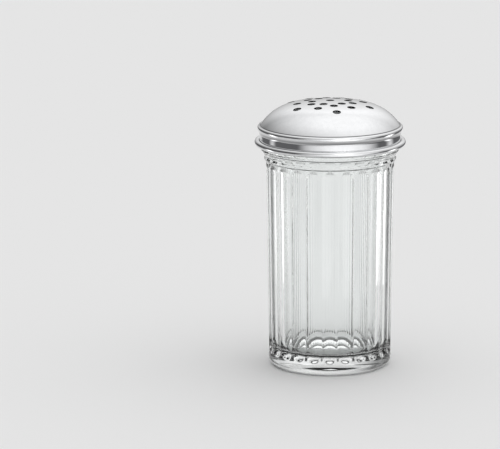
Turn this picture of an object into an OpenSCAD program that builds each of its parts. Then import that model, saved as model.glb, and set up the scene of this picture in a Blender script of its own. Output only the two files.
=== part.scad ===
// Grated cheese shaker: a pressed, fluted glass jar closed by a perforated steel screw lid.
// Origin at the centre of the ring that the glass stands on; +Z up, -Y toward the viewer.
// All lengths in millimetres, drawn with the lid screwed down.

// Piece to draw

/* [Glass body] */
// Height of the glass from the table to the lip
jar_h = 130.7; // [120:0.1:145]
// Body radius over the arrises, carried down to the table
body_foot_r = 32.6; // [31.3:0.1:34.1]
// Body radius over the arrises at the neck bead
body_top_r = 34.2; // [32.8:0.1:35.3]
// Glass thickness from the arrises to the smooth inside
body_wall = 3.2; // [2.6:0.1:5]
// Glass thickness of the floor above the table
floor_t = 8; // [5:0.5:14]
// Radius where the inside wall turns into the floor
floor_fillet_r = 7; // [3:0.5:12]
// Rounding of the heel
heel_r = 4; // [2:0.5:6]
// Radius of the hollow under the base
push_up_r = 22; // [15:0.5:26]
// Depth of the hollow under the base
push_up_h = 2; // [1:0.1:3.5]

/* [Flutes] */
// Number of flutes round the body
flute_count = 24; // [18:1:28]
// Depth of a flute at its middle
flute_depth = 1.1; // [0.7:0.05:1.5]
// Width of the arris left between two flutes at the neck
arris_w = 0.9; // [0.7:0.05:1.4]
// Distance from the neck bead down to the arched top of a flute
flute_drop = 1.7; // [1.7:0.1:10]
// Height of the lower end of a flute above the table
flute_foot_h = 7; // [5:0.5:20]

/* [Glass neck] */
// How far the finish that the lid screws over stands out of the body
finish_out = 2.2; // [1.8:0.1:5]
// Glass thickness of the finish
finish_wall = 3.4; // [2.6:0.1:4.4]
// Height of the finish from its lower edge to the lip
finish_h = 13.8; // [13.2:0.1:18]
// Rounding of the lower edge of the finish
finish_edge_r = 0.8; // [0.4:0.1:1.4]
// Distance from the lower edge of the finish down to the neck bead
bead_drop = 4.5; // [3.6:0.1:6.5]
// Section radius of the neck bead
bead_r = 1.5; // [1.1:0.1:1.7]
// How far the neck bead stands out of the body
bead_out = 0.9; // [0.5:0.05:1]

/* [Lid] */
// Thickness of the lid's sheet
sheet = 0.5; // [0.4:0.05:0.6]
// Height of the crown above the ledge
dome_rise = 13.1; // [11:0.1:16]
// Radius of the flat crown
crown_r = 112; // [100:1:130]
// Width of the flat ledge round the dome
ledge_w = 0.3; // [0.2:0.05:0.6]
// Rounding from the ledge to the skirt
shoulder_r = 1.2; // [0.9:0.1:1.5]
// How far the shoulder stands out of the skirt
shoulder_out = 1.1; // [0.6:0.05:1.3]
// Height of the hollow curve from the shoulder in to the straight skirt
neck_h = 3.5; // [2.5:0.1:4.5]
// Height from the widest line of the shoulder down to the rolled rim
skirt_h = 6.2; // [5:0.1:8]
// Section radius of the rolled rim
curl_r = 1.6; // [1.3:0.05:1.9]

/* [Pour holes] */
// Diameter of a pour hole
hole_d = 4; // [2.5:0.1:4.2]
// Holes in each ring
hole_count = 6; // [5:1:6]
// Radius of the first ring of holes
ring_1_r = 9.7; // [8:0.1:10]
// Radius of the second ring of holes
ring_2_r = 12.7; // [12.4:0.1:14]
// Radius of the third ring of holes
ring_3_r = 17.7; // [17:0.1:18.5]
// Radius of the outer ring of holes
ring_4_r = 22.3; // [21.8:0.1:25]
// Turn of the hole pattern from the front of the jar, in degrees
hole_turn = 9; // [0:0.5:60]

/* [Fit] */
// Gap from the finish to the inside of the skirt
skirt_clear = 0.6; // [0.4:0.05:1]
// Gap between the lip and the underside of the dome that comes down on it
seat_clear = 0.15; // [0.05:0.05:0.4]

/* [Hidden] */
$fn = 120;
// overrun of every cut
over = 1;

// glass levels and radii
finish_z = jar_h - finish_h;
bead_z = finish_z - bead_drop;
finish_r = body_top_r + finish_out;
mouth_r = finish_r - finish_wall;
lip_r = finish_wall / 2;
taper = atan((body_top_r - body_foot_r) / bead_z);
// the heel's round stands a hair proud of the wall, so that the two cross cleanly
heel_proud = 0.02;
heel_x = body_foot_r + heel_r * tan(taper) - heel_r / cos(taper) + heel_proud;
inner_foot_r = body_foot_r - body_wall;
inner_top_r = body_top_r - body_wall;
fillet_x = inner_foot_r + (floor_t + floor_fillet_r) * tan(taper) - floor_fillet_r / cos(taper);
push_up_ball_r = (push_up_r * push_up_r + push_up_h * push_up_h) / (2 * push_up_h);
edge_x = finish_r - finish_edge_r;
edge_z = finish_z + finish_edge_r;
// the flare meets the rounded edge where its own direction touches it
flare_a = atan2(edge_x - body_top_r, edge_z - bead_z);

// flute section, from its depth and the width between two arrises
flute_half_a = 180 / flute_count - asin(arris_w / 2 / body_top_r);
flute_half_w = body_top_r * sin(flute_half_a);
flute_sag = flute_depth - body_top_r * (1 - cos(flute_half_a));
flute_r = (flute_half_w * flute_half_w + flute_sag * flute_sag) / (2 * flute_sag);
flute_arch = sqrt(2 * flute_r * flute_depth - flute_depth * flute_depth);
flute_top_z = bead_z - flute_drop - flute_arch;
flute_low_z = flute_foot_h + flute_arch;

// lid radii, all from the glass that it closes
skirt_r = finish_r + skirt_clear + sheet;
ridge_r = skirt_r + shoulder_out;
shoulder_x = ridge_r - shoulder_r;
dome_foot_r = shoulder_x - ledge_w;

// the crown ends midway between the two outer rings of holes, heights over the ledge
crown_edge_r = (ring_3_r + ring_4_r) / 2;
crown_up = dome_rise - crown_r;
knuckle_a = asin(crown_edge_r / crown_r);
crown_edge_up = crown_up + crown_r * cos(knuckle_a);
// the knuckle touches the crown at that edge and passes through the foot of the dome
foot_out = dome_foot_r - crown_edge_r;
foot_turn = crown_edge_up * cos(knuckle_a) - foot_out * sin(knuckle_a);
knuckle_r = (foot_out * foot_out + crown_edge_up * crown_edge_up) / (2 * foot_turn);
knuckle_x = crown_edge_r - knuckle_r * sin(knuckle_a);
knuckle_up = crown_edge_up - knuckle_r * cos(knuckle_a);

// the lid comes down until the inside of the knuckle is over the round of the lip
lip_reach = knuckle_r - sheet - seat_clear - lip_r;
lip_across = mouth_r + lip_r - knuckle_x;
knuckle_z = jar_h - lip_r - sqrt(lip_reach * lip_reach - lip_across * lip_across);
ledge_z = knuckle_z - knuckle_up;
crown_z = ledge_z + crown_up;
// the dome's sheet runs down into the thickness of the ledge, and the ledge begins inside that sheet
dome_low_z = ledge_z - sheet / 2;
inner_foot_x = knuckle_x + sqrt(pow(knuckle_r - sheet, 2) - pow(dome_low_z - knuckle_z, 2)) + sheet / 4;

// skirt and rolled rim
shoulder_z = ledge_z - shoulder_r;
skirt_low_z = shoulder_z - skirt_h;
curl_x = skirt_r - sheet + curl_r;
stub_share = 0.2;
curl_z = skirt_low_z - curl_r - stub_share * sheet;
curl_gap = sheet / 2;

// steps of the rounded shoulder and of the hollow curve below it
shoulder_steps = 8;
neck_steps = 16;

// outline of the skirt: the round shoulder, the hollow curve as half a wave, and the straight part
function wave_r(z) = skirt_r + shoulder_out / 2 * (1 + cos(180 * (shoulder_z - z) / neck_h));
function wave_slope(z) = PI * shoulder_out / 2 / neck_h * sin(180 * (shoulder_z - z) / neck_h);
function wave_point(z, in) = let (m = wave_slope(z), n = norm([1, m]))
    [wave_r(z) - in / n, z + in * m / n];
function shoulder_point(a, in) =
    [shoulder_x + (shoulder_r - in) * sin(a), shoulder_z + (shoulder_r - in) * cos(a)];
function skirt_line(in) = concat(
    [for (i = [0 : shoulder_steps - 1]) shoulder_point(90 * i / shoulder_steps, in)],
    [for (i = [0 : neck_steps]) wave_point(shoulder_z - i * neck_h / neck_steps, in)],
    [[skirt_r - in, skirt_low_z]]
);
function turned(list) = [for (i = [len(list) - 1 : -1 : 0]) list[i]];

// half section of the glass without its flutes
module jar_section() {
    difference() {
        union() {
            polygon([
                [0, 0],
                [heel_x, 0],
                [body_foot_r + heel_r * tan(taper), heel_r],
                [body_top_r, bead_z],
                [0, bead_z]
            ]);
            translate([heel_x, heel_r]) circle(heel_r);
            translate([body_top_r + bead_out - bead_r, bead_z]) circle(bead_r);
            polygon([
                [0, bead_z],
                [body_top_r, bead_z],
                [edge_x + finish_edge_r * cos(flare_a), edge_z - finish_edge_r * sin(flare_a)],
                [finish_r, edge_z],
                [finish_r, jar_h - lip_r],
                [0, jar_h - lip_r]
            ]);
            translate([edge_x, edge_z]) circle(finish_edge_r);
        }
        polygon([
            [-over, floor_t],
            [fillet_x, floor_t],
            [fillet_x + floor_fillet_r * cos(taper), floor_t + floor_fillet_r * (1 - sin(taper))],
            [inner_top_r, bead_z],
            [mouth_r, edge_z],
            [mouth_r, jar_h],
            [-over, jar_h]
        ]);
        translate([fillet_x, floor_t + floor_fillet_r]) circle(floor_fillet_r);
        translate([0, push_up_h - push_up_ball_r]) circle(push_up_ball_r);
    }
    translate([mouth_r + lip_r, jar_h - lip_r]) circle(lip_r);
}

// one flute: a round groove that leans with the body and ends in a ball at both ends
module flute_cut() {
    translate([body_foot_r, 0, 0])
        rotate([0, taper, 0])
            translate([flute_r - flute_depth, 0, flute_low_z]) {
                cylinder(h = flute_top_z - flute_low_z, r = flute_r);
                sphere(flute_r);
                translate([0, 0, flute_top_z - flute_low_z]) sphere(flute_r);
            }
}

module glass_jar() {
    color([0.85, 0.92, 0.93, 0.45])
        difference() {
            rotate_extrude() jar_section();
            for (i = [0 : flute_count - 1]) rotate([0, 0, 360 * i / flute_count - 90]) flute_cut();
        }
}

// half section under the dome, drawn in from its outer face
module dome_area(in) {
    reach = crown_r + over;
    intersection() {
        translate([0, crown_z]) circle(crown_r - in);
        polygon([
            [0, dome_low_z],
            [(dome_low_z - crown_z) * tan(knuckle_a), dome_low_z],
            [reach * tan(knuckle_a), crown_z + reach],
            [0, crown_z + reach]
        ]);
    }
    intersection() {
        translate([knuckle_x, knuckle_z]) circle(knuckle_r - in);
        polygon([
            [0, dome_low_z],
            [knuckle_x + knuckle_r, dome_low_z],
            [knuckle_x + knuckle_r, crown_z + reach],
            [reach * tan(knuckle_a), crown_z + reach],
            [(crown_r - in) * sin(knuckle_a), crown_z + (crown_r - in) * cos(knuckle_a)]
        ]);
    }
}

// half section of the dome's sheet
module dome_section() {
    difference() {
        dome_area(0);
        dome_area(sheet);
    }
}

// half section of the ledge, the rounded shoulder and the skirt
module skirt_section() {
    polygon(concat(
        [[inner_foot_x, ledge_z]],
        skirt_line(0),
        turned(skirt_line(sheet)),
        [[inner_foot_x, ledge_z - sheet]]
    ));
}

// one ring of pour holes, punched straight down
module hole_ring(r, turn) {
    for (i = [0 : hole_count - 1])
        rotate([0, 0, hole_turn + turn + 360 * i / hole_count - 90])
            translate([r, 0, ledge_z]) cylinder(h = dome_rise + over, d = hole_d);
}

module perforated_lid() {
    half_step = 180 / hole_count;
    color([0.80, 0.81, 0.83])
        difference() {
            union() {
                rotate_extrude() dome_section();
                rotate_extrude() skirt_section();
            }
            translate([0, 0, ledge_z]) cylinder(h = dome_rise + over, d = hole_d);
            hole_ring(ring_1_r, half_step);
            hole_ring(ring_2_r, 0);
            hole_ring(ring_3_r, half_step);
            hole_ring(ring_4_r, 0);
        }
}

// the sheet goes on down from the skirt and curls outward, open where its edge comes round
module rolled_rim() {
    color([0.74, 0.75, 0.77])
        rotate_extrude() {
            difference() {
                translate([curl_x, curl_z]) circle(curl_r);
                translate([curl_x, curl_z]) circle(curl_r - sheet);
                translate([curl_x - curl_r, curl_z]) square([sheet + curl_gap, curl_r + over]);
            }
            translate([curl_x - curl_r, curl_z]) square([sheet, skirt_low_z - curl_z]);
        }
}

glass_jar();
rolled_rim();
perforated_lid();
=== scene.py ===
"""Grated cheese shaker: fluted clear glass, and a domed, perforated screw lid of polished steel.

The object's lengths are millimetres until a mesh is made, and the stage's are metres.
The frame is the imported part's own: +Z up, -Y to the viewer. Names that end in _a are degrees.
"""

import math

import bpy
import numpy as np
from mathutils import Matrix, Vector
from mathutils.geometry import delaunay_2d_cdt


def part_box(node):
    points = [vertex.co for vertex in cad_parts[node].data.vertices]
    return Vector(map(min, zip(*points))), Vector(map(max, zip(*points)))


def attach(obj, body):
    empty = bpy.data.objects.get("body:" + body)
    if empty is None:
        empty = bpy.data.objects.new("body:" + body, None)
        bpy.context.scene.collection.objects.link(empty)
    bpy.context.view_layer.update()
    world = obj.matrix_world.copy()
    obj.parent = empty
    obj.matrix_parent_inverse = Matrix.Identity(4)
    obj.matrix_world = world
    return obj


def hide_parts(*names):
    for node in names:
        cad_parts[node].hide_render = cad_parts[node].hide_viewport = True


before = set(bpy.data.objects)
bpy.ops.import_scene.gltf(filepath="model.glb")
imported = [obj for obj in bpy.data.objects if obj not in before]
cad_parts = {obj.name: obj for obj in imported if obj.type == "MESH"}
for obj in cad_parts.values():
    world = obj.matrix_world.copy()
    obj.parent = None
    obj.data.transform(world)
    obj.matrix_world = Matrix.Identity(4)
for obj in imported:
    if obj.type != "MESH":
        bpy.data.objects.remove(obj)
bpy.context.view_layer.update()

MM = 0.001

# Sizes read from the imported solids
jar_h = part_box("glass_jar")[1].z / MM
finish_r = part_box("glass_jar")[1].x / MM
apex_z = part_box("perforated_lid")[1].z / MM
ridge_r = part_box("perforated_lid")[1].x / MM
skirt_low_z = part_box("rolled_rim")[1].z / MM
rim_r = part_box("rolled_rim")[1].x / MM
rim_low_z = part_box("rolled_rim")[0].z / MM

# Glass, as in the part's source
body_foot_r = 32.6
body_top_r = 34.2
body_wall = 3.2
floor_t = 8
floor_fillet_r = 7
heel_r = 4
push_up_r = 22
push_up_h = 2
flute_count = 24
flute_depth = 1.1
arris_w = 0.9
flute_drop = 1.7
flute_foot_h = 7
finish_wall = 3.4
finish_h = 13.8
bead_drop = 4.5
bead_r = 1.5
bead_out = 0.9
finish_z = jar_h - finish_h
bead_z = finish_z - bead_drop
mouth_r = finish_r - finish_wall
lip_r = finish_wall / 2
lean = (body_top_r - body_foot_r) / bead_z

# Glass, set here: a slim bead at the finish's lower edge, and the widths of melted edges
edge_bead_r = 0.75
edge_bead_out = 0.25
edge_bead_melt = 0.25
bead_melt = 0.5
finish_melt = 0.2
arris_melt = 0.25
bore_melt = 1.2
base_melt = 0.25

# The screw thread of the glass: one rib that climbs under the skirt
thread_pitch = 4.2
rib_h = 0.4
rib_half_w = 1.5
rib_up = 4.1
rib_start_a = 95
rib_end_a = 480
rib_fade_a = 30
rib_low_z = finish_z + rib_up

# Lid, as in the part's source
sheet = 0.5
dome_rise = 13.1
crown_r = 112
ledge_w = 0.3
shoulder_r = 1.2
shoulder_out = 1.1
neck_h = 3.5
curl_r = 1.6
hole_d = 4
hole_count = 6
hole_ring_r = (9.7, 12.7, 17.7, 22.3)
hole_turn_a = 9
ledge_z = apex_z - dome_rise
shoulder_x = ridge_r - shoulder_r
shoulder_z = ledge_z - shoulder_r
skirt_r = ridge_r - shoulder_out
crown_edge_r = (hole_ring_r[2] + hole_ring_r[3]) / 2

# Lid, set here: where the curl ends, the drawn-in hole edges, the round at the dome's foot,
# the hair above the rim, and where painted shade darkens the polish's colour
curl_end_a = 122
hole_draw = 0.22
foot_round = 0.3
seam = 0.02
# painted shade: its width in the crease, and its half height, place and strength in the neck's hollow
crease_w = 0.6
hollow_half = 1.5
hollow_drop_share = 0.68
hollow_shade_share = 0.72
hollow_z = shoulder_z - hollow_drop_share * neck_h

# Mesh of the lid: columns round the axis, edge of the middle that is triangulated between the holes,
# and the place of the unpolished inside, darkened with painted shade, among the sheet's materials
lid_columns = 288
lid_theta = np.linspace(0, 2 * np.pi, lid_columns, endpoint=False)
middle_margin = 1.7
middle_r = hole_ring_r[3] + hole_d / 2 + middle_margin
drawn = 1

# Stage, in metres: the floor's reach, and the grey surround with its opening for the jar
floor_half = 4.0
surround_z = 0.0003
opening_aside = 0.075
opening_r = 0.25
border_r = 0.37

# Half the side of a card's unit square, which the card's size scales
card_half = 0.5


def smooth_min(a, b, k):
    """The lower of two heights, rounded over a width k where they cross."""
    h = np.maximum(k - np.abs(a - b), 0) / k
    return np.minimum(a, b) - h * h * k / 4


def smooth_max(a, b, k):
    return -smooth_min(-a, -b, k)


def ease(x):
    """0 below 0, 1 above 1, with a smooth step between."""
    x = np.clip(x, 0, 1)
    return x * x * (3 - 2 * x)


def spaced(*stretches):
    """Values along a line: each stretch is (start, end, steps), and the last one keeps its end."""
    parts = [np.linspace(a, b, n, endpoint=False) for a, b, n in stretches]
    return np.concatenate([*parts, [stretches[-1][1]]])


def arc(x, z, radius, start, end, steps):
    """Points of an arc in the half section, angles in degrees from +X."""
    a = np.radians(np.linspace(start, end, steps + 1))
    return np.stack([x + radius * np.cos(a), z + radius * np.sin(a)], 1)


def ring_points(r, z, theta):
    """Grid of points from radii and heights, each either one value a row or one a point."""
    shape = np.broadcast_shapes(np.shape(r), np.shape(z), (1, len(theta)))
    r, z, theta = (np.broadcast_to(v, shape) for v in (r, z, theta[None, :]))
    return np.stack([r * np.cos(theta), r * np.sin(theta), z], -1)


def revolve(section, theta):
    return ring_points(section[:, :1], section[:, 1:], theta)


class Patchwork:
    """Vertices, faces and wished normals of one mesh, gathered patch by patch."""

    def __init__(self):
        self.points, self.normals, self.faces, self.finishes, self.count = [], [], [], [], 0

    def add(self, points, faces, normals=None, finish=0):
        points = np.reshape(points, (-1, 3))
        # a zero normal leaves the mesh's own
        normals = np.zeros_like(points) if normals is None else np.reshape(normals, (-1, 3))
        self.points.append(points)
        self.normals.append(normals)
        self.faces += [tuple(int(i) + self.count for i in f) for f in faces]
        self.finishes += [finish] * len(faces)
        self.count += len(points)

    def add_grid(self, grid, normals=None, flip=False, finish=0):
        """Rows of points round the axis, joined by quads that look outward where the rows climb."""
        rows, cols = grid.shape[:2]
        faces = []
        for i in range(rows - 1):
            for j in range(cols):
                k = (j + 1) % cols
                quad = (i * cols + j, i * cols + k, (i + 1) * cols + k, (i + 1) * cols + j)
                faces.append(quad[::-1] if flip else quad)
        self.add(grid, faces, normals, finish)

    def make(self, name, body, nodes, materials, sharp_deg=None):
        """Turns the patches into one piece on a body, in place of the CAD nodes named."""
        mesh = bpy.data.meshes.new(name)
        mesh.from_pydata(np.concatenate(self.points) * MM, [], self.faces)
        mesh.polygons.foreach_set("use_smooth", [True] * len(mesh.polygons))
        if sharp_deg:
            mesh.set_sharp_from_angle(angle=math.radians(sharp_deg))
        normals = np.concatenate(self.normals)
        if normals.any():
            mesh.normals_split_custom_set_from_vertices(normals)
        for material in materials:
            mesh.materials.append(material)
        mesh.polygons.foreach_set("material_index", self.finishes)
        piece = bpy.data.objects.new(name, mesh)
        bpy.context.scene.collection.objects.link(piece)
        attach(piece, body)
        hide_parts(*nodes)
        return piece


# Glass jar
def flute_columns(per_flute, crowding):
    """Angles round the jar, crowded towards the arrises; a flute faces the viewer."""
    t = np.arange(per_flute) / per_flute
    share = t - crowding * np.sin(2 * np.pi * t) / (2 * np.pi)
    step = 2 * np.pi / flute_count
    starts = -np.pi / 2 + step * (np.arange(flute_count) - 0.5)
    return (starts[:, None] + step * share[None, :]).ravel()


def body_r(z):
    return body_foot_r + lean * z


def ring_at(z, at_z, at_r, radius):
    """Outside of a round ring of the glass, which falls off steeply above and below the ring."""
    fall = 6
    off = np.abs(z - at_z)
    bulge = np.sqrt(np.maximum(radius**2 - off**2, 0))
    return at_r - radius + bulge - fall * np.maximum(off - radius, 0)


def outer_r(z):
    """Outside of the glass over the heel, without flutes and thread: body, bead, flare and finish."""
    flare = body_top_r + (z - bead_z) * (finish_r - body_top_r) / (finish_z - bead_z)
    neck = np.where(z < bead_z, body_r(z), smooth_min(flare, finish_r, finish_melt))
    edge_bead = ring_at(z, finish_z, finish_r + edge_bead_out, edge_bead_r)
    neck_bead = ring_at(z, bead_z, body_top_r + bead_out, bead_r)
    return smooth_max(smooth_max(neck, edge_bead, edge_bead_melt), neck_bead, bead_melt)


def flute_r_at(z, theta):
    """Radius at which a flute's hollow face stands, or a large one beyond its ends."""
    half_angle = math.pi / flute_count - math.asin(arris_w / 2 / body_top_r)
    half_w = body_top_r * math.sin(half_angle)
    sag = flute_depth - body_top_r * (1 - math.cos(half_angle))
    hollow_r = (half_w**2 + sag**2) / (2 * sag)
    arch = math.sqrt(2 * hollow_r * flute_depth - flute_depth**2)
    top, low = bead_z - flute_drop - arch, flute_foot_h + arch
    past = np.maximum(z - top, 0) + np.maximum(low - z, 0)
    step = 2 * math.pi / flute_count
    off = (theta + math.pi / 2 + step / 2) % step - step / 2
    centre = body_r(z) + hollow_r - flute_depth
    inside = hollow_r**2 - past**2 - (centre * np.sin(off)) ** 2
    far = 2 * body_top_r
    return np.where(inside > 0, centre * np.cos(off) - np.sqrt(np.maximum(inside, 0)), far)


def thread_at(z, theta):
    """1 along the middle of the rib and 0 beside it, faded at both ends."""
    total = 0
    for turn in range(2):
        a = np.degrees(theta) % 360 + 360 * turn
        live = ease((a - rib_start_a) / rib_fade_a) * ease((rib_end_a - a) / rib_fade_a)
        off = z - rib_low_z - thread_pitch * (a - rib_start_a) / 360
        total = total + live * (1 + np.cos(np.pi * np.clip(off / rib_half_w, -1, 1))) / 2
    return total


def bore_r(z):
    """Inside of the glass over the floor's fillet: body, cone under the finish, and mouth."""
    body = body_r(z) - body_wall
    widen = (mouth_r - body_top_r + body_wall) / (finish_z - bead_z)
    cone = body_top_r - body_wall + (z - bead_z) * widen
    return smooth_min(smooth_max(body, cone, bore_melt), mouth_r, bore_melt)


def foot_section(centre_r):
    """Under the base from the middle out: the pushed-up hollow, the ring it stands on and the heel."""
    heel_x = body_foot_r + lean * heel_r - heel_r
    ball_r = (push_up_r**2 + push_up_h**2) / (2 * push_up_h)
    crest_half = 1.5
    crest = push_up_r - crest_half, push_up_r + crest_half
    r = spaced((centre_r, crest[0], 10), (*crest, 8), (crest[1], heel_x, 2))
    z = smooth_max(push_up_h - ball_r + np.sqrt(ball_r**2 - r**2), 0, base_melt)
    # the heel's arc stops a little short of the rows beside it
    heel = arc(heel_x, heel_r, heel_r, start=-82, end=-6, steps=10)
    return np.concatenate([np.stack([r, z], 1), heel])


def wall_heights():
    """Heights of the rows outside, close together where the flutes end and at the neck."""
    lead = 0.6
    arch_h = 5
    over = 1
    foot_low, foot_high = flute_foot_h - lead, flute_foot_h + arch_h
    neck_low, neck_high = bead_z - flute_drop - arch_h, finish_z + over
    return spaced(
        (heel_r, foot_low, 3),
        (foot_low, foot_high, 26),
        (foot_high, neck_low, 8),
        (neck_low, neck_high, 60),
        (neck_high, jar_h - lip_r, 40),
    )


def bore_section(centre_r):
    """From the lip down the inside to the middle of the floor."""
    margin = 2
    lip = arc(mouth_r + lip_r, jar_h - lip_r, lip_r, start=7, end=173, steps=14)
    z = spaced(
        (jar_h - lip_r, finish_z + margin, 3),
        (finish_z + margin, bead_z - margin, 24),
        (bead_z - margin, floor_t + floor_fillet_r, 6),
    )
    bore = np.stack([bore_r(z), z], 1)
    fillet_x, fillet_z = bore[-1, 0] - floor_fillet_r, floor_t + floor_fillet_r
    fillet = arc(fillet_x, fillet_z, floor_fillet_r, start=-6, end=-90, steps=12)
    floor_r = spaced((fillet_x - margin, centre_r, 5))
    floor = np.stack([floor_r, np.full_like(floor_r, floor_t)], 1)
    return np.concatenate([lip, bore, fillet, floor])


def make_glass_jar(material):
    theta = flute_columns(per_flute=17, crowding=0.7)
    centre_r = 0.4
    z = wall_heights()[:, None]
    wall = smooth_min(outer_r(z), flute_r_at(z, theta[None, :]), arris_melt)
    wall = wall + rib_h * thread_at(z, theta[None, :])
    foot, bore = revolve(foot_section(centre_r), theta), revolve(bore_section(centre_r), theta)
    grid = np.concatenate([foot, ring_points(wall, z, theta), bore])
    patch = Patchwork()
    patch.add_grid(grid)
    # the two small middles, under the base and on the floor inside
    ends = np.arange(len(theta))
    patch.add(grid[0], [ends[::-1]])
    patch.add(grid[-1], [ends])
    return patch.make("jar_of_pressed_glass", "jar", ["glass_jar"], [material])


# Lid
def knuckle_arc():
    """Radius, centre and start, in radians, of the arc from the crown's edge to the dome's foot."""
    start = math.asin(crown_edge_r / crown_r)
    edge_up = dome_rise - crown_r + crown_r * math.cos(start)
    out = shoulder_x - ledge_w - crown_edge_r
    radius = (out**2 + edge_up**2) / (2 * (edge_up * math.cos(start) - out * math.sin(start)))
    x = crown_edge_r - radius * math.sin(start)
    z = ledge_z + edge_up - radius * math.cos(start)
    return radius, x, z, start


knuckle_r, knuckle_x, knuckle_z, knuckle_start = knuckle_arc()


def dome_at(r, inset):
    """Height of the dome's face drawn in by inset, and its normal in the half section."""
    crown_z = apex_z - crown_r
    on_crown = r < (crown_r - inset) * math.sin(knuckle_start)
    x = np.where(on_crown, 0, knuckle_x)
    base = np.where(on_crown, crown_z, knuckle_z)
    radius = np.where(on_crown, crown_r, knuckle_r) - inset
    up = np.sqrt(radius**2 - (r - x) ** 2)
    return base + up, (r - x) / radius, up / radius


def on_dome(xy, inset):
    """Points of the dome's face over a plan, with their normals."""
    r = np.hypot(xy[:, 0], xy[:, 1])
    z, out, up = dome_at(r, inset)
    # the axis itself has no way outward
    tiny = 1e-9
    way = xy / np.maximum(r, tiny)[:, None]
    return np.column_stack([xy, z]), np.column_stack([way * out[:, None], up])


def on_circle(a):
    return np.column_stack([np.cos(a), np.sin(a)])


def hole_centres():
    """The middle hole, then the rings, every other one turned by half a step."""
    yield 0.0, 0.0
    for i, r in enumerate(hole_ring_r):
        shift = 180 / hole_count if i % 2 == 0 else 0
        for k in range(hole_count):
            a = math.radians(hole_turn_a + shift + 360 * k / hole_count - 90)
            yield r * math.cos(a), r * math.sin(a)


def to_nearest(points, centres):
    """Distance of each point from the nearest centre."""
    return np.min(np.linalg.norm(points[:, None] - centres[None], axis=2), axis=1)


def crown_fill(centres):
    """Points spread in rings over the middle of the dome, clear of the pour holes."""
    grain, clear = 1.3, 0.4
    fill = []
    for r in np.arange(0, middle_r - grain / 2, grain):
        n = max(1, round(2 * np.pi * r / grain))
        half_step = 0.5 * (round(r / grain) % 2)
        fill.append(r * on_circle((np.arange(n) + half_step) * 2 * np.pi / n))
    fill = np.concatenate(fill)
    return fill[to_nearest(fill, centres) > hole_d / 2 + hole_draw + clear]


def loop_edges(loops):
    """Edges that close each loop, numbered on from loop to loop."""
    edges, start = [], 0
    for loop in loops:
        n = len(loop)
        edges += [(start + i, start + (i + 1) % n) for i in range(n)]
        start += n
    return edges


def add_perforated_crown(patch):
    """The middle of the dome, both faces, with the pour holes punched through the sheet."""
    around = 36
    circle = on_circle(np.arange(around) * 2 * np.pi / around)
    centres = np.array(list(hole_centres()))
    loops = [middle_r * on_circle(lid_theta)]
    loops += [c + (hole_d / 2 + hole_draw) * circle for c in centres]
    flat = [Vector(p) for p in np.concatenate([*loops, crown_fill(centres)])]
    output_type, epsilon = 0, 1e-5
    corners, _, triangles, *_ = delaunay_2d_cdt(flat, loop_edges(loops), [], output_type, epsilon)
    xy = np.array([tuple(v) for v in corners])
    # triangles that fill a hole are left out: their middles lie within its drawn-in edge
    within_share = 0.6
    within = hole_d / 2 + hole_draw * within_share
    middles = np.array([xy[list(f)].mean(0) for f in triangles])
    faces = [f for f, gap in zip(triangles, to_nearest(middles, centres)) if gap > within]
    top, up = on_dome(xy, 0)
    patch.add(top, faces, up)
    under, down = on_dome(xy, sheet)
    patch.add(under, [tuple(f)[::-1] for f in faces], -down, finish=drawn)
    for c in centres:
        add_hole_wall(patch, c, circle)


def add_hole_wall(patch, centre, circle):
    """One hole's drawn-in upper edge, its wall and its sharp lower edge."""
    rows, ways = [], []
    flat = np.column_stack([circle, np.zeros(len(circle))])
    bend_rows = 6
    for s in np.linspace(0, math.pi / 2, bend_rows):
        r = hole_d / 2 + hole_draw * (1 - math.sin(s))
        top, up = on_dome(centre + r * circle, 0)
        top[:, 2] -= hole_draw * (1 - math.cos(s))
        rows.append(top)
        ways.append(up * math.cos(s) - flat * math.sin(s))
    low, _ = on_dome(centre + hole_d / 2 * circle, sheet)
    rows.append(low)
    ways.append(-flat)
    patch.add_grid(np.stack(rows), np.stack(ways), flip=True)
    # the underside runs from the triangulated edge in to the hole's wall
    wide, down = on_dome(centre + (hole_d / 2 + hole_draw) * circle, sheet)
    patch.add_grid(np.stack([wide, low]), np.stack([-down, -down]), finish=drawn)


def add_round(patch, section, centre, side=1):
    """A band turned from an arc; its normals leave the arc's centre, or meet there if side is -1."""
    n = (section - centre) * side
    n = n / np.linalg.norm(n, axis=1)[:, None]
    patch.add_grid(revolve(section, lid_theta), revolve(n, lid_theta), flip=True)


def add_knuckle_and_shoulder(patch):
    """Outside, from the perforated middle: knuckle, round at the dome's foot, ledge and shoulder."""
    knuckle_at = (knuckle_x, knuckle_z)
    foot_up = ledge_z + foot_round - knuckle_z
    foot_x = knuckle_x + math.sqrt((knuckle_r + foot_round) ** 2 - foot_up**2)
    foot_at = (foot_x, ledge_z + foot_round)
    foot_a = math.degrees(math.atan2(foot_up, foot_x - knuckle_x))
    middle_a = math.degrees(math.acos((middle_r - knuckle_x) / knuckle_r))
    knuckle = arc(*knuckle_at, knuckle_r, start=middle_a, end=foot_a, steps=40)
    hollow = arc(*foot_at, foot_round, start=foot_a - 180, end=-90, steps=8)
    shoulder = arc(shoulder_x, shoulder_z, shoulder_r, start=90, end=0, steps=20)
    add_round(patch, knuckle, knuckle_at)
    add_round(patch, hollow, foot_at, side=-1)
    add_round(patch, shoulder, (shoulder_x, shoulder_z))
    ledge = np.array([hollow[-1], shoulder[0]])
    up = np.array([[0.0, 1.0], [0.0, 1.0]])
    patch.add_grid(revolve(ledge, lid_theta), revolve(up, lid_theta), flip=True)


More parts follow.
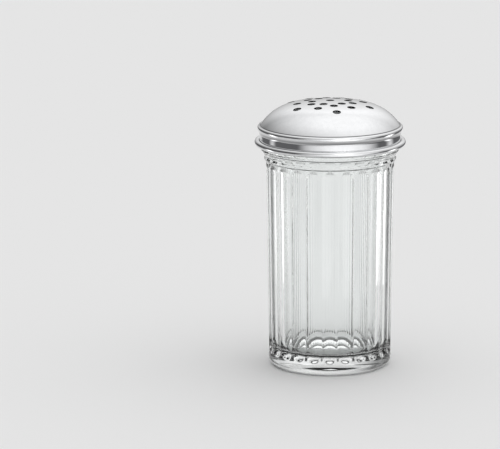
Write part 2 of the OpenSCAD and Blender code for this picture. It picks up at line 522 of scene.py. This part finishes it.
def add_skirt(patch):
    """The hollow curve below the shoulder and the skirt, both faces, closed a hair above the rim."""
    neck_z = shoulder_z - neck_h
    z = spaced((shoulder_z, neck_z, 48), (neck_z, skirt_low_z + seam, 12))
    down = np.pi * np.clip((shoulder_z - z) / neck_h, 0, 1)
    r = skirt_r + shoulder_out * (1 + np.cos(down)) / 2
    slope = shoulder_out * np.pi / neck_h * np.sin(down) / 2
    n = np.stack([np.ones_like(slope), -slope], 1) / np.hypot(1, slope)[:, None]
    outside = np.stack([r, z], 1)
    patch.add_grid(revolve(outside, lid_theta), revolve(n, lid_theta), flip=True)
    inside = np.stack([r - sheet, z], 1)
    patch.add_grid(revolve(inside, lid_theta), revolve(-n, lid_theta), finish=drawn)
    patch.add_grid(revolve(np.stack([outside[-1], inside[-1]]), lid_theta), flip=True)


def add_lid_inside(patch):
    """Inside of the dome beyond its perforated middle, and of the shoulder."""
    inner_r = knuckle_r - sheet
    middle_a = math.degrees(math.acos((middle_r - knuckle_x) / inner_r))
    foot_a = math.degrees(math.asin((ledge_z - sheet - knuckle_z) / inner_r))
    inner = np.concatenate([
        arc(knuckle_x, knuckle_z, inner_r, start=middle_a, end=foot_a, steps=24),
        arc(shoulder_x, shoulder_z, shoulder_r - sheet, start=90, end=0, steps=10),
    ])
    patch.add_grid(revolve(inner, lid_theta), finish=drawn)


def make_lid_sheet(materials):
    patch = Patchwork()
    add_perforated_crown(patch)
    add_knuckle_and_shoulder(patch)
    add_skirt(patch)
    add_lid_inside(patch)
    nodes, slot = ["perforated_lid"], "polished_steel"
    return patch.make("lid_of_polished_steel", "lid", nodes, materials, sharp_deg=40)


def make_lid_rim(material):
    """The open curl at the skirt's lower edge, with a rounded end."""
    x, z = rim_r - curl_r, rim_low_z + curl_r
    half_z = (skirt_low_z + z) / 2
    mid = curl_r - sheet / 2
    end = math.radians(curl_end_a)
    end_at = x + mid * math.cos(end), z + mid * math.sin(end)
    # the rounded end's arc stops short of the two faces beside it
    short_a = 15
    section = np.concatenate([
        [(skirt_r, skirt_low_z), (skirt_r, half_z)],
        arc(x, z, curl_r - sheet, start=180, end=360 + curl_end_a, steps=44),
        arc(*end_at, sheet / 2, start=curl_end_a + 180 - short_a, end=curl_end_a + short_a, steps=8),
        arc(x, z, curl_r, start=360 + curl_end_a, end=180, steps=60),
        [(skirt_r - sheet, half_z), (skirt_r - sheet, skirt_low_z)],
        [(skirt_r, skirt_low_z)],
    ])
    patch = Patchwork()
    patch.add_grid(revolve(section, lid_theta), flip=True)
    nodes, slot = ["rolled_rim"], "polished_steel"
    return patch.make("rim_curl_of_polished_steel", "lid_rim", nodes, [material], sharp_deg=50)


# Materials
def new_material(name):
    material = bpy.data.materials.new(name)
    material.use_nodes = True
    tree = material.node_tree
    return material, tree.nodes, tree.links, tree.nodes["Principled BSDF"]


def node_of(nodes, kind, **settings):
    node = nodes.new(kind)
    for key, value in settings.items():
        setattr(node, key, value)
    return node


def maths(nodes, links, operation, *values):
    """A maths node on sockets and plain numbers."""
    node = node_of(nodes, "ShaderNodeMath", operation=operation)
    for socket, value in zip(node.inputs, values):
        if isinstance(value, bpy.types.NodeSocket):
            links.new(value, socket)
        else:
            socket.default_value = value
    return node.outputs[0]


def vector_maths(nodes, links, operation, vector, other=None):
    """A vector maths node on a socket and, where given, a plain vector."""
    node = node_of(nodes, "ShaderNodeVectorMath", operation=operation)
    links.new(vector, node.inputs[0])
    if other:
        node.inputs[1].default_value = other
    return node.outputs


def parts_of(nodes, links, vector):
    node = nodes.new("ShaderNodeSeparateXYZ")
    links.new(vector, node.inputs[0])
    return node.outputs


def noise(nodes, links, vector, scale, detail=4.0, roughness=0.55):
    node = nodes.new("ShaderNodeTexNoise")
    node.inputs["Scale"].default_value = scale
    node.inputs["Detail"].default_value = detail
    node.inputs["Roughness"].default_value = roughness
    links.new(vector, node.inputs["Vector"])
    return node.outputs["Fac"]


def remap(nodes, links, value, low, high, out_low, out_high, kind="LINEAR"):
    """Brings a value from one range to another, held at the ends."""
    node = node_of(nodes, "ShaderNodeMapRange", interpolation_type=kind)
    node.inputs["From Min"].default_value = low
    node.inputs["From Max"].default_value = high
    node.inputs["To Min"].default_value = out_low
    node.inputs["To Max"].default_value = out_high
    links.new(value, node.inputs["Value"])
    return node.outputs["Result"]


def tones(nodes, links, value, low, low_tone, high, high_tone):
    """Colour that goes from one tone to another as a value goes from low to high."""
    ramp = nodes.new("ShaderNodeValToRGB")
    ends = ramp.color_ramp.elements
    ends[0].position, ends[1].position = low, high
    ends[0].color, ends[1].color = low_tone, high_tone
    links.new(value, ramp.inputs["Fac"])
    return ramp.outputs["Color"]


def bump(nodes, links, height, strength, distance, normal=None):
    node = nodes.new("ShaderNodeBump")
    node.inputs["Strength"].default_value = strength
    node.inputs["Distance"].default_value = distance
    links.new(height, node.inputs["Height"])
    if normal:
        links.new(normal, node.inputs["Normal"])
    return node.outputs["Normal"]


def section_of(nodes, links, place):
    """Place in the half section: distance from the axis, and height."""
    flat = vector_maths(nodes, links, "MULTIPLY", place, (1, 1, 0))[0]
    section = nodes.new("ShaderNodeCombineXYZ")
    links.new(vector_maths(nodes, links, "LENGTH", flat)["Value"], section.inputs["X"])
    links.new(parts_of(nodes, links, place)["Z"], section.inputs["Y"])
    return section.outputs[0]


def painted_shade_places(nodes, links, section):
    """Share of painted shade on the polish: 1 in the crease at the dome's foot, less in the hollow of
    the neck.
    """
    # painted shade in the crease where the dome's foot meets the shoulder
    crease_at = ((shoulder_x - ledge_w / 2) * MM, ledge_z * MM, 0)
    off = vector_maths(nodes, links, "DISTANCE", section, crease_at)["Value"]
    crease = remap(nodes, links, off, crease_w / 2 * MM, crease_w * MM, 1, 0)
    # painted shade in the hollow under the shoulder, strongest at its middle
    above = maths(nodes, links, "SUBTRACT", parts_of(nodes, links, section)["Y"], hollow_z * MM)
    away = maths(nodes, links, "ABSOLUTE", above)
    hollow = remap(nodes, links, away, 0, hollow_half * MM, hollow_shade_share, 0, "SMOOTHSTEP")
    return maths(nodes, links, "MAXIMUM", crease, hollow)


def polished_steel():
    """Mirror-polished stainless sheet: faint turning lines round the axis, wipe marks and haze, and
    painted shade in the crease and the neck's hollow.
    """
    dark, light = (0.685, 0.69, 0.70, 1), (0.72, 0.725, 0.733, 1)
    # painted shade: a near-black tone mixed into the colour at the crease and in the neck's hollow
    painted_shade_tone = (0.15, 0.15, 0.155, 1)
    material, nodes, links, shader = new_material("polished_steel_sheet")
    place = nodes.new("ShaderNodeTexCoord").outputs["Object"]
    section = section_of(nodes, links, place)
    lines = noise(nodes, links, section, scale=5200, detail=3.0)
    haze = noise(nodes, links, place, scale=55, detail=5.0, roughness=0.6)
    wipe = noise(nodes, links, place, scale=420, detail=3.0)
    rough = remap(nodes, links, haze, low=0.35, high=0.72, out_low=0.05, out_high=0.085)
    links.new(rough, shader.inputs["Roughness"])
    tone = tones(nodes, links, wipe, low=0.32, low_tone=dark, high=0.7, high_tone=light)
    # mixes the painted shade into the polished colour
    shade = node_of(nodes, "ShaderNodeMix", data_type="RGBA")
    shade.inputs["B"].default_value = painted_shade_tone
    links.new(painted_shade_places(nodes, links, section), shade.inputs["Factor"])
    links.new(tone, shade.inputs["A"])
    links.new(shade.outputs["Result"], shader.inputs["Base Color"])
    turned = bump(nodes, links, lines, strength=0.02, distance=0.00001)
    hazed = bump(nodes, links, haze, strength=0.02, distance=0.0001, normal=turned)
    links.new(hazed, shader.inputs["Normal"])
    shader.inputs["Metallic"].default_value = 1.0
    return material


def drawn_steel_and_shade():
    """The lid's unpolished inside: rough drawn sheet streaked by the press, its dark grey partly
    painted shade.
    """
    # painted shade in part: these greys are darker than unpolished steel alone would be
    dark, light = (0.30, 0.30, 0.305, 1), (0.46, 0.46, 0.465, 1)
    material, nodes, links, shader = new_material("drawn_steel_inside_and_shade")
    place = nodes.new("ShaderNodeTexCoord").outputs["Object"]
    streak = noise(nodes, links, place, scale=260, detail=5.0, roughness=0.6)
    tone = tones(nodes, links, streak, low=0.3, low_tone=dark, high=0.75, high_tone=light)
    links.new(tone, shader.inputs["Base Color"])
    rough = remap(nodes, links, streak, low=0.3, high=0.7, out_low=0.32, out_high=0.5)
    links.new(rough, shader.inputs["Roughness"])
    links.new(bump(nodes, links, streak, strength=0.15, distance=0.0001), shader.inputs["Normal"])
    shader.inputs["Metallic"].default_value = 1.0
    return material


def clear_glass():
    """Pressed soda-lime glass: clear, with the faint waviness and fire polish of a mould's face."""
    material, nodes, links, shader = new_material("clear_pressed_glass")
    place = nodes.new("ShaderNodeTexCoord").outputs["Object"]
    wave = noise(nodes, links, place, scale=90, detail=2.0)
    skin = noise(nodes, links, place, scale=700, detail=3.0)
    marks = noise(nodes, links, place, scale=45, detail=6.0, roughness=0.65)
    rough = remap(nodes, links, marks, low=0.45, high=0.8, out_low=0.0, out_high=0.035)
    links.new(rough, shader.inputs["Roughness"])
    wavy = bump(nodes, links, wave, strength=0.12, distance=0.0006)
    polish = bump(nodes, links, skin, strength=0.03, distance=0.0001, normal=wavy)
    links.new(polish, shader.inputs["Normal"])
    shader.inputs["Base Color"].default_value = (0.972, 0.986, 0.982, 1)
    shader.inputs["IOR"].default_value = 1.52
    shader.inputs["Transmission Weight"].default_value = 1.0
    return material


def pale_paper():
    """Matt white paper with a fine tooth."""
    dark, light = (0.83, 0.83, 0.83, 1), (0.86, 0.86, 0.86, 1)
    material, nodes, links, shader = new_material("pale_studio_paper")
    place = nodes.new("ShaderNodeTexCoord").outputs["Object"]
    tooth = noise(nodes, links, place, scale=900, detail=2.0)
    tone = tones(nodes, links, tooth, low=0, low_tone=dark, high=1, high_tone=light)
    links.new(tone, shader.inputs["Base Color"])
    shader.inputs["Roughness"].default_value = 0.8
    shader.inputs["Specular IOR Level"].default_value = 0
    return material


def grey_surround():
    """Grey felt over the paper, left open round the jar and behind it, with a soft border."""
    material, nodes, links, shader = new_material("grey_surround")
    place = nodes.new("ShaderNodeTexCoord").outputs["Object"]
    split = parts_of(nodes, links, place)
    # the opening's middle lies left of the jar, and it runs on to the back
    flat = nodes.new("ShaderNodeCombineXYZ")
    links.new(maths(nodes, links, "ADD", split["X"], opening_aside), flat.inputs["X"])
    links.new(maths(nodes, links, "MINIMUM", split["Y"], 0), flat.inputs["Y"])
    reach = vector_maths(nodes, links, "LENGTH", flat.outputs[0])["Value"]
    border = remap(nodes, links, reach, opening_r, border_r, 0, 1, "SMOOTHSTEP")
    links.new(border, shader.inputs["Alpha"])
    shader.inputs["Base Color"].default_value = (0.16, 0.16, 0.165, 1)
    shader.inputs["Roughness"].default_value = 0.8
    shader.inputs["Specular IOR Level"].default_value = 0
    return material


def card_light(name, radiance):
    """Light of a soft box: full in the middle of the card and fading out to nothing at its edges."""
    material, nodes, links, shader = new_material(name)
    nodes.remove(shader)
    split = parts_of(nodes, links, nodes.new("ShaderNodeTexCoord").outputs["Object"])
    shares = []
    for side in "XY":
        off = maths(nodes, links, "ABSOLUTE", split[side])
        shares.append(remap(nodes, links, off, card_half, 0, 0, 1, "SMOOTHSTEP"))
    both = maths(nodes, links, "MULTIPLY", *shares)
    glow = nodes.new("ShaderNodeEmission")
    links.new(maths(nodes, links, "MULTIPLY", both, radiance), glow.inputs["Strength"])
    added = nodes.new("ShaderNodeAddShader")
    links.new(glow.outputs[0], added.inputs[0])
    links.new(nodes.new("ShaderNodeBsdfTransparent").outputs[0], added.inputs[1])
    links.new(added.outputs[0], nodes["Material Output"].inputs["Surface"])
    return material


# Stage
def make_square(name, half, material):
    """A flat square in its own XY plane, with sides of twice half."""
    mesh = bpy.data.meshes.new(name)
    corners = [(-half, -half, 0), (half, -half, 0), (half, half, 0), (-half, half, 0)]
    mesh.from_pydata(corners, [], [(0, 1, 2, 3)])
    mesh.materials.append(material)
    square = bpy.data.objects.new(name, mesh)
    bpy.context.scene.collection.objects.link(square)
    return square


def only_mirrored(square, through=False):
    """Keeps a square of the stage for mirrored views, and for views through the glass if asked."""
    square.visible_camera = False
    square.visible_diffuse = False
    square.visible_shadow = False
    square.visible_transmission = through


def make_ground():
    floor = make_square("studio_floor", floor_half, pale_paper())
    surround = make_square("grey_surround", floor_half, grey_surround())
    surround.location.z = surround_z
    only_mirrored(surround)


def make_card(name, place, size, radiance, through=False):
    """An upright soft box that faces the jar."""
    card = make_square(name, card_half, card_light(name, radiance))
    card.location = place
    card.rotation_euler = Vector((-place[0], -place[1], 0)).to_track_quat("Z", "Y").to_euler()
    card.scale = (size[0], size[1], 1)
    only_mirrored(card, through)


def make_cards():
    """Narrow strips beside the glass, a broad and a low card in front, and a lamp high on the right."""
    make_card("strip_right", place=(0.20, 0.06, 0.045), size=(0.10, 0.13), radiance=2.8, through=True)
    make_card("strip_left", place=(-0.21, 0.04, 0.045), size=(0.08, 0.13), radiance=2.4, through=True)
    make_card("card_front", place=(0.063, -0.221, 0.11), size=(1.3, 0.46), radiance=1.1)
    make_card("card_low", place=(0.08, -0.17, 0.02), size=(0.36, 0.20), radiance=1.0)
    make_card("lamp_front", place=(0.30, -0.72, 0.60), size=(0.80, 0.36), radiance=3.2)


def heading(azimuth, elevation):
    """Direction from the object, azimuth in degrees to the right of the viewer's side."""
    a, e = math.radians(azimuth), math.radians(elevation)
    return math.sin(a) * math.cos(e), -math.cos(a) * math.cos(e), math.sin(e)


def make_world():
    """A room lit from a broad ceiling, brighter to the right and the back, with a low back light."""
    ceiling_way = (0.23, 0.15, 1.0)
    back_way = heading(azimuth=178, elevation=17)
    back_core_a, back_edge_a, back_strength = 12, 40, 0.36
    world = bpy.data.worlds.new("studio_room")
    bpy.context.scene.world = world
    world.use_nodes = True
    nodes, links = world.node_tree.nodes, world.node_tree.links
    way = nodes.new("ShaderNodeTexCoord").outputs["Generated"]
    rise = vector_maths(nodes, links, "DOT_PRODUCT", way, ceiling_way)["Value"]
    ceiling = remap(nodes, links, rise, low=0.10, high=0.98, out_low=0.10, out_high=1.34)
    near = vector_maths(nodes, links, "DOT_PRODUCT", way, back_way)["Value"]
    edge, core = (math.cos(math.radians(a)) for a in (back_edge_a, back_core_a))
    back = remap(nodes, links, near, edge, core, 0, back_strength, "SMOOTHSTEP")
    background = nodes["Background"]
    links.new(maths(nodes, links, "ADD", ceiling, back), background.inputs["Strength"])
    background.inputs["Color"].default_value = (1, 1, 1, 1)


def make_camera():
    """The photograph's view: a long lens, from a little above, with the jar right of the middle."""
    image_w = 500
    focal_px = 3600
    place = Vector((0, -1.8787, 0.474))
    yaw, pitch, roll = 0.0227, 0.209, -0.003
    data = bpy.data.cameras.new("camera")
    data.sensor_width = 36
    data.lens = data.sensor_width * focal_px / image_w
    data.clip_end = 50
    camera = bpy.data.objects.new("camera", data)
    level = math.cos(pitch)
    ahead = Vector((-math.sin(yaw) * level, math.cos(yaw) * level, -math.sin(pitch)))
    turn = ahead.to_track_quat("-Z", "Y").to_matrix().to_4x4() @ Matrix.Rotation(roll, 4, "Z")
    camera.matrix_world = Matrix.Translation(place) @ turn
    bpy.context.scene.collection.objects.link(camera)
    bpy.context.scene.camera = camera


steel = polished_steel()
make_glass_jar(clear_glass())
make_lid_sheet([steel, drawn_steel_and_shade()])
make_lid_rim(steel)
make_ground()
make_cards()
make_world()
make_camera()
bpy.context.scene.view_settings.view_transform = "Standard"
